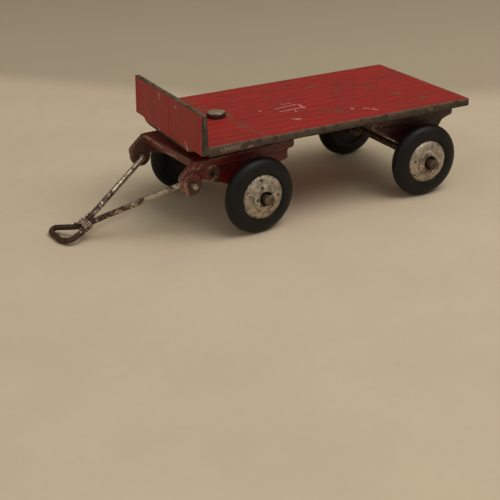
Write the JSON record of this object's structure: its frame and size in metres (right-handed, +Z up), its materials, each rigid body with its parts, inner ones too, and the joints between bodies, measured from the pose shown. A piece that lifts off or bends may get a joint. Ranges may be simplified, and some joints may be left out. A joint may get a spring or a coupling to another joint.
{
  "type": "toy trailer",
  "caption": "Die-cast toy flat trailer with planked bed, headboard, swivelling front bogie, rubber-tyred wheels and a bent-wire drawbar ending in a loop.",
  "frame": {"origin": "under the middle of the whole trailer, drawbar included, on the ground the tyres stand on", "axes": "+X along the bed towards the headboard and drawbar, +Y to the trailer's left, +Z up"},
  "size_m": [0.1123, 0.0506, 0.0341],
  "materials": {
    "red_enamel": "satin red enamel on a die casting, rubbed to bare grey-brown metal along the edges, with small chips",
    "bare_casting": "dull silvery bare casting, mottled and pitted with dark spots",
    "rubber_tyre": "smooth black rubber, slightly shiny on the shoulders",
    "axle_steel": "dull browned steel rod with peened ends",
    "rivet_steel": "peened steel, pale and worn on top, brown round the rim",
    "drawbar_wire": "round steel wire, pale where rubbed, dark rusty brown towards the loop",
    "binding_wire": "thin bright wire"
  },
  "bodies": {
    "chassis": {"flat_bed": "red_enamel", "rear_frame": "red_enamel", "pivot_rivet": "rivet_steel", "pivot_washer": "rivet_steel", "rear_axle": "axle_steel"},
    "bogie": {"front_bogie": "red_enamel", "front_axle": "axle_steel"},
    "drawbar": {"drawbar": "drawbar_wire", "binding_wire": "binding_wire"},
    "wheel_front_left": {"hub_front_left": "bare_casting", "tyre_front_left": "rubber_tyre"},
    "wheel_front_right": {"hub_front_right": "bare_casting", "tyre_front_right": "rubber_tyre"},
    "wheel_rear_left": {"hub_rear_left": "bare_casting", "tyre_rear_left": "rubber_tyre"},
    "wheel_rear_right": {"hub_rear_right": "bare_casting", "tyre_rear_right": "rubber_tyre"}
  },
  "joints": [
    {"name": "steering", "type": "hinge", "parent": "chassis", "child": "bogie", "pos_m": [0.00964, 0, 0.022], "axis": [0, 0, 1], "range_deg": [-96, 84]},
    {"name": "drawbar_lift", "type": "hinge", "parent": "bogie", "child": "drawbar", "pos_m": [0.02575, 0.00169, 0.0148], "axis": [0.1045, -0.9945, 0], "range_deg": [-60, 70]},
    {"name": "wheel_front_left_spin", "type": "hinge", "parent": "bogie", "child": "wheel_front_left", "pos_m": [0.00757, 0.01969, 0.01], "axis": [-0.1045, 0.9945, 0], "continuous": true},
    {"name": "wheel_front_right_spin", "type": "hinge", "parent": "bogie", "child": "wheel_front_right", "pos_m": [0.01171, -0.01969, 0.01], "axis": [-0.1045, 0.9945, 0], "continuous": true},
    {"name": "wheel_rear_left_spin", "type": "hinge", "parent": "chassis", "child": "wheel_rear_left", "pos_m": [-0.04311, 0.0198, 0.01], "axis": [0, 1, 0], "continuous": true},
    {"name": "wheel_rear_right_spin", "type": "hinge", "parent": "chassis", "child": "wheel_rear_right", "pos_m": [-0.04311, -0.0198, 0.01], "axis": [0, 1, 0], "continuous": true}
  ]
}
